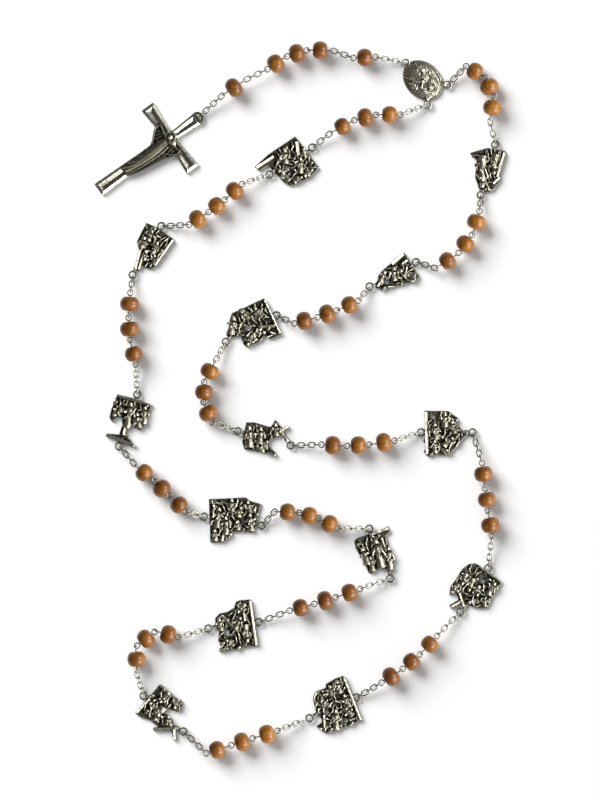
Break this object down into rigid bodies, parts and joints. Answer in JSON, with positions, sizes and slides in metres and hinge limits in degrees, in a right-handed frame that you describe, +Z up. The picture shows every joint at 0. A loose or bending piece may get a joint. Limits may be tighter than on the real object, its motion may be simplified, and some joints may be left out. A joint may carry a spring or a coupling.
{
  "type": "rosary",
  "caption": "Rosary laid out as a long winding loop: wooden beads in threes on eye pins, oval-link chain, cast relief plaques, an oval centre medal and a short pendant with a crucifix.",
  "frame": {"origin": "on the table, under the middle of the bounding box of the chain as laid out", "axes": "+Z up, away from the table; +Y along the longest side of the laid-out chain, towards the end with the medal; +X to the right, seen from above"},
  "size_m": [0.1419, 0.2478, 0.007],
  "materials": {
    "bead_wood": "satin, lightly polished",
    "cast_metal": "antiqued pewter: bright edges, dark hollows",
    "wire": "polished, slightly tarnished"
  },
  "bodies": {
    "beads_01": {"beads_01": "bead_wood", "chain_01": "wire"},
    "beads_02": {"beads_02": "bead_wood", "chain_02": "wire"},
    "beads_03": {"beads_03": "bead_wood", "chain_03": "wire"},
    "beads_04": {"beads_04": "bead_wood", "chain_04": "wire"},
    "beads_05": {"beads_05": "bead_wood", "chain_05": "wire"},
    "beads_06": {"beads_06": "bead_wood", "chain_06": "wire"},
    "beads_07": {"beads_07": "bead_wood", "chain_07": "wire"},
    "beads_08": {"beads_08": "bead_wood", "chain_08": "wire"},
    "beads_09": {"beads_09": "bead_wood", "chain_09": "wire"},
    "beads_10": {"beads_10": "bead_wood", "chain_10": "wire"},
    "beads_11": {"beads_11": "bead_wood", "chain_11": "wire"},
    "beads_12": {"beads_12": "bead_wood", "chain_12": "wire"},
    "beads_13": {"beads_13": "bead_wood", "chain_13": "wire"},
    "beads_14": {"beads_14": "bead_wood", "chain_14": "wire"},
    "beads_15": {"beads_15": "bead_wood", "chain_15": "wire"},
    "centre_medal": {"centre_medal": "cast_metal"},
    "crucifix": {"crucifix": "cast_metal"},
    "crucifix_links": {"crucifix_links": "wire"},
    "medal_links_left": {"medal_links_left": "wire"},
    "medal_links_right": {"medal_links_right": "wire"},
    "pendant_beads_lower": {"pendant_beads_lower": "bead_wood", "pendant_pins_lower": "wire"},
    "pendant_beads_middle": {"pendant_beads_middle": "bead_wood", "pendant_pins_middle": "wire"},
    "pendant_beads_upper": {"pendant_beads_upper": "bead_wood", "pendant_pins_upper": "wire"},
    "pendant_links_lower": {"pendant_links_lower": "wire"},
    "pendant_links_middle": {"pendant_links_middle": "wire"},
    "pendant_links_upper": {"pendant_links_upper": "wire"},
    "station_01": {"station_01": "cast_metal"},
    "station_02": {"station_02": "cast_metal"},
    "station_03": {"station_03": "cast_metal"},
    "station_04": {"station_04": "cast_metal"},
    "station_05": {"station_05": "cast_metal"},
    "station_06": {"station_06": "cast_metal"},
    "station_07": {"station_07": "cast_metal"},
    "station_08": {"station_08": "cast_metal"},
    "station_09": {"station_09": "cast_metal"},
    "station_10": {"station_10": "cast_metal"},
    "station_11": {"station_11": "cast_metal"},
    "station_12": {"station_12": "cast_metal"},
    "station_13": {"station_13": "cast_metal"},
    "station_14": {"station_14": "cast_metal"}
  },
  "joints": [
    {"name": "medal_right_eyelet", "type": "hinge", "parent": "centre_medal", "child": "medal_links_right", "pos_m": [0.05182, 0.10948, 0.0012], "axis": [0.7103, -0.7039, 0], "range_deg": [-60, 60]},
    {"name": "beads_01_end_loop", "type": "hinge", "parent": "medal_links_right", "child": "beads_01", "pos_m": [0.05652, 0.11422, 0.0035], "axis": [-0.7103, 0.7039, 0], "range_deg": [-60, 60]},
    {"name": "station_01_first_eyelet", "type": "hinge", "parent": "beads_01", "child": "station_01", "pos_m": [0.06713, 0.0892, 0.0012], "axis": [-0.9826, -0.1858, 0], "range_deg": [-60, 60]},
    {"name": "station_01_second_eyelet", "type": "hinge", "parent": "station_01", "child": "beads_02", "pos_m": [0.06224, 0.06943, 0.0012], "axis": [0.9958, -0.0914, 0], "range_deg": [-60, 60]},
    {"name": "station_02_first_eyelet", "type": "hinge", "parent": "beads_02", "child": "station_02", "pos_m": [0.04122, 0.04725, 0.0012], "axis": [0.2214, 0.9752, 0], "range_deg": [-60, 60]},
    {"name": "station_02_second_eyelet", "type": "hinge", "parent": "station_02", "child": "beads_03", "pos_m": [0.0233, 0.03818, 0.0012], "axis": [0.7836, -0.6213, 0], "range_deg": [-60, 60]},
    {"name": "station_03_first_eyelet", "type": "hinge", "parent": "beads_03", "child": "station_03", "pos_m": [-0.00696, 0.02863, 0.0012], "axis": [0.4098, 0.9122, 0], "range_deg": [-60, 60]},
    {"name": "station_03_second_eyelet", "type": "hinge", "parent": "station_03", "child": "beads_04", "pos_m": [-0.02612, 0.01896, 0.0012], "axis": [0.8803, -0.4744, 0], "range_deg": [-60, 60]},
    {"name": "station_04_first_eyelet", "type": "hinge", "parent": "beads_04", "child": "station_04", "pos_m": [-0.02258, -0.01038, 0.0012], "axis": [-0.331, -0.9436, 0], "range_deg": [-60, 60]},
    {"name": "station_04_second_eyelet", "type": "hinge", "parent": "station_04", "child": "beads_05", "pos_m": [-0.00195, -0.01564, 0.0012], "axis": [-0.0297, 0.9996, 0], "range_deg": [-60, 60]},
    {"name": "station_05_first_eyelet", "type": "hinge", "parent": "beads_05", "child": "station_05", "pos_m": [0.0406, -0.01153, 0.0012], "axis": [0.2922, -0.9564, 0], "range_deg": [-60, 60]},
    {"name": "station_05_second_eyelet", "type": "hinge", "parent": "station_05", "child": "beads_06", "pos_m": [0.05989, -0.01233, 0.0012], "axis": [0.9578, 0.2874, 0], "range_deg": [-60, 60]},
    {"name": "station_06_first_eyelet", "type": "hinge", "parent": "beads_06", "child": "station_06", "pos_m": [0.06508, -0.05679, 0.0012], "axis": [-0.9944, 0.1054, 0], "range_deg": [-60, 60]},
    {"name": "station_06_second_eyelet", "type": "hinge", "parent": "station_06", "child": "beads_07", "pos_m": [0.0545, -0.07393, 0.0012], "axis": [0.7102, -0.704, 0], "range_deg": [-60, 60]},
    {"name": "station_07_first_eyelet", "type": "hinge", "parent": "beads_07", "child": "station_07", "pos_m": [0.02057, -0.10195, 0.0012], "axis": [-0.5245, 0.8514, 0], "range_deg": [-60, 60]},
    {"name": "station_08_first_eyelet", "type": "hinge", "parent": "station_08", "child": "beads_08", "pos_m": [-0.03927, -0.11509, 0.0012], "axis": [0.6777, 0.7353, 0], "range_deg": [-60, 60]},
    {"name": "station_08_second_eyelet", "type": "hinge", "parent": "beads_09", "child": "station_08", "pos_m": [-0.05416, -0.10082, 0.0012], "axis": [-0.9673, -0.2538, 0], "range_deg": [-60, 60]},
    {"name": "station_09_first_eyelet", "type": "hinge", "parent": "station_09", "child": "beads_09", "pos_m": [-0.0327, -0.07911, 0.0012], "axis": [0.2778, -0.9606, 0], "range_deg": [-60, 60]},
    {"name": "station_09_second_eyelet", "type": "hinge", "parent": "beads_10", "child": "station_09", "pos_m": [-0.01303, -0.07615, 0.0012], "axis": [-0.3561, 0.9344, 0], "range_deg": [-60, 60]},
    {"name": "station_10_first_eyelet", "type": "hinge", "parent": "station_10", "child": "beads_10", "pos_m": [0.03001, -0.06196, 0.0012], "axis": [0.3184, -0.948, 0], "range_deg": [-60, 60]},
    {"name": "station_10_second_eyelet", "type": "hinge", "parent": "beads_11", "child": "station_10", "pos_m": [0.02275, -0.04437, 0.0012], "axis": [-0.0044, -1, 0], "range_deg": [-60, 60]},
    {"name": "station_11_first_eyelet", "type": "hinge", "parent": "station_11", "child": "beads_11", "pos_m": [-0.01227, -0.04256, 0.0012], "axis": [-0.6824, 0.731, 0], "range_deg": [-60, 60]},
    {"name": "station_11_second_eyelet", "type": "hinge", "parent": "beads_12", "child": "station_11", "pos_m": [-0.03411, -0.03996, 0.0012], "axis": [-0.2646, -0.9644, 0], "range_deg": [-60, 60]},
    {"name": "station_12_first_eyelet", "type": "hinge", "parent": "station_12", "child": "beads_12", "pos_m": [-0.06155, -0.01688, 0.0012], "axis": [0.7464, 0.6655, 0], "range_deg": [-60, 60]},
    {"name": "station_12_second_eyelet", "type": "hinge", "parent": "beads_13", "child": "station_12", "pos_m": [-0.05608, 0.00302, 0.0012], "axis": [-0.9996, -0.0277, 0], "range_deg": [-60, 60]},
    {"name": "station_13_first_eyelet", "type": "hinge", "parent": "station_13", "child": "beads_13", "pos_m": [-0.05778, 0.04193, 0.0012], "axis": [0.9939, -0.1105, 0], "range_deg": [-60, 60]},
    {"name": "station_13_second_eyelet", "type": "hinge", "parent": "beads_14", "child": "station_13", "pos_m": [-0.04655, 0.05998, 0.0012], "axis": [-0.0456, 0.999, 0], "range_deg": [-60, 60]},
    {"name": "station_14_first_eyelet", "type": "hinge", "parent": "station_14", "child": "beads_14", "pos_m": [-0.01158, 0.07731, 0.0012], "axis": [0.3408, -0.9401, 0], "range_deg": [-60, 60]},
    {"name": "station_14_second_eyelet", "type": "hinge", "parent": "beads_15", "child": "station_14", "pos_m": [0.00521, 0.08774, 0.0012], "axis": [-0.6028, 0.7979, 0], "range_deg": [-60, 60]},
    {"name": "medal_left_eyelet", "type": "hinge", "parent": "centre_medal", "child": "medal_links_left", "pos_m": [0.04292, 0.10128, 0.0012], "axis": [-0.3488, 0.9372, 0], "range_deg": [-60, 60]},
    {"name": "beads_15_end_loop", "type": "hinge", "parent": "medal_links_left", "child": "beads_15", "pos_m": [0.03555, 0.09853, 0.0035], "axis": [0.3488, -0.9372, 0], "range_deg": [-60, 60]},
    {"name": "medal_pendant_eyelet", "type": "hinge", "parent": "centre_medal", "child": "pendant_links_upper", "pos_m": [0.0353, 0.1164, 0.0012], "axis": [0.1768, 0.9842, 0], "range_deg": [-60, 60]},
    {"name": "pendant_upper_first_loop", "type": "hinge", "parent": "pendant_links_upper", "child": "pendant_beads_upper", "pos_m": [0.02703, 0.11789, 0.0035], "axis": [-0.1768, -0.9842, 0], "range_deg": [-60, 60]},
    {"name": "pendant_upper_last_loop", "type": "hinge", "parent": "pendant_beads_upper", "child": "pendant_links_middle", "pos_m": [0.0175, 0.11807, 0.0035], "axis": [0.3388, 0.9409, 0], "range_deg": [-60, 60]},
    {"name": "pendant_middle_first_loop", "type": "hinge", "parent": "pendant_links_middle", "child": "pendant_beads_middle", "pos_m": [0.01043, 0.1203, 0.0035], "axis": [-0.0251, -0.9997, 0], "range_deg": [-60, 60]},
    {"name": "pendant_middle_last_loop", "type": "hinge", "parent": "pendant_beads_middle", "child": "pendant_links_lower", "pos_m": [-0.01204, 0.11342, 0.0035], "axis": [-0.4305, 0.9026, 0], "range_deg": [-60, 60]},
    {"name": "pendant_lower_first_loop", "type": "hinge", "parent": "pendant_links_lower", "child": "pendant_beads_lower", "pos_m": [-0.01956, 0.10967, 0.0035], "axis": [0.5592, -0.829, 0], "range_deg": [-60, 60]},
    {"name": "pendant_lower_last_loop", "type": "hinge", "parent": "pendant_beads_lower", "child": "crucifix_links", "pos_m": [-0.02594, 0.10537, 0.0035], "axis": [-0.5592, 0.829, 0], "range_deg": [-60, 60]},
    {"name": "crucifix_bail", "type": "hinge", "parent": "crucifix_links", "child": "crucifix", "pos_m": [-0.03399, 0.09832, 0.0012], "axis": [0.6588, -0.7524, 0], "range_deg": [-60, 60]}
  ]
}
